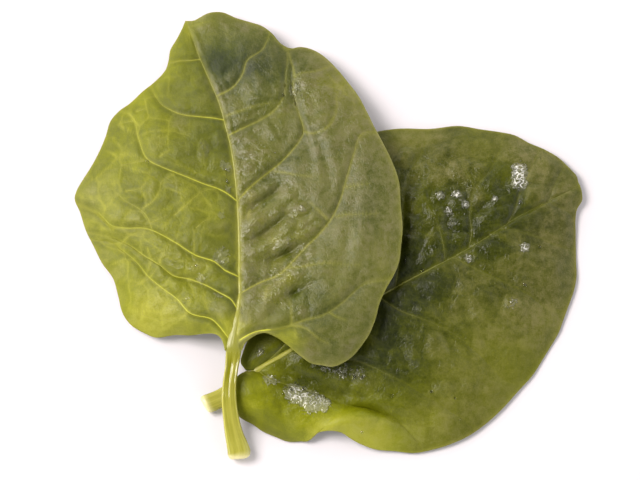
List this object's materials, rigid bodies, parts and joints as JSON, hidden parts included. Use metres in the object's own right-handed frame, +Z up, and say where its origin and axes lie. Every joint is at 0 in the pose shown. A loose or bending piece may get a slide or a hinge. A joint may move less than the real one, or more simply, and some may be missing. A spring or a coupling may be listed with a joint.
{
  "type": "spinach_bunch",
  "caption": "Loose Malabar spinach leaves laid flat, one lapping over the other, with waved margins, sunken veins and pale stalks.",
  "frame": {"origin": "Middle of the bounding box, on the surface the leaves lie on", "axes": "+X across the pair, towards the tip of the back leaf; +Y towards the tip of the front leaf, away from the cut stalks; +Z up from the surface"},
  "size_m": [0.1531, 0.1371, 0.0134],
  "materials": {
    "front_leaf": "satin yellow-green leaf",
    "back_leaf": "glossy dark green leaf",
    "stalk": "smooth moist pale green stalk"
  },
  "bodies": {
    "root": {"front_leaf_blade": "front_leaf", "front_leaf_stalk": "stalk", "back_leaf_blade": "back_leaf", "back_leaf_stalk": "stalk"}
  },
  "joints": []
}
